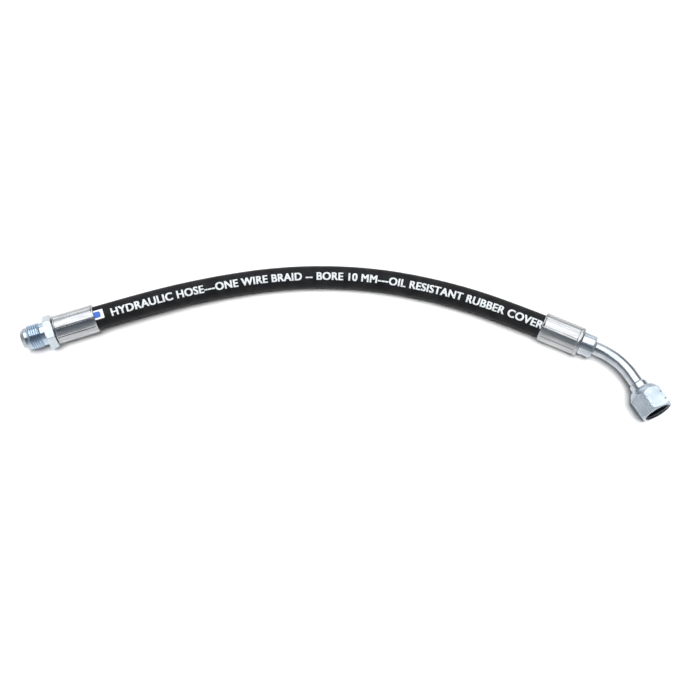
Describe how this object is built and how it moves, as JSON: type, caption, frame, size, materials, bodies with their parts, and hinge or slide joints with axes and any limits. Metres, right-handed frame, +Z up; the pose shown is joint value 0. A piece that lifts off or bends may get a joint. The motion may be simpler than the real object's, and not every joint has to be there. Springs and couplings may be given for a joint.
{
  "type": "hydraulic hose assembly",
  "caption": "Braided rubber hydraulic hose with crimped end fittings: a straight male 37 degree flare adaptor at one end, a swept elbow with a female swivel nut at the other.",
  "frame": {"origin": "centre of the metal fittings' bounding box, on the plane the assembly lies on", "axes": "+X along the assembly from the male end to the nut end, +Y towards the hose's bulge, +Z up"},
  "size_m": [0.4733, 0.1306, 0.0256],
  "materials": {
    "rubber_cover": "satin black synthetic rubber, lightly talc-dusted",
    "nitrile_liner": "smooth black nitrile",
    "braid_wire": "brass-coated high-tensile braid wire",
    "bright_zinc": "bright zinc plate over turned steel",
    "ferrule_zinc": "bright zinc plate with fine die marks",
    "tube_zinc": "smooth bright zinc plate",
    "nut_zinc": "bluish bright zinc plate",
    "braze_alloy": "plated-over braze"
  },
  "bodies": {
    "hose_assembly": {"hose_liner": "nitrile_liner", "wire_braid": "braid_wire", "hose_cover": "rubber_cover", "male_stem": "bright_zinc", "male_ferrule": "ferrule_zinc", "elbow_ferrule": "ferrule_zinc", "elbow_stem": "bright_zinc", "elbow_tube": "tube_zinc", "collar_braze": "braze_alloy", "head_braze": "braze_alloy", "seat_head": "bright_zinc"},
    "swivel_nut": {"swivel_nut": "nut_zinc"}
  },
  "joints": [
    {"name": "nut_swivel", "type": "hinge", "parent": "hose_assembly", "child": "swivel_nut", "pos_m": [0.2233, -0.03671, 0.0111], "axis": [0.4196, -0.9077, 0], "continuous": true}
  ]
}
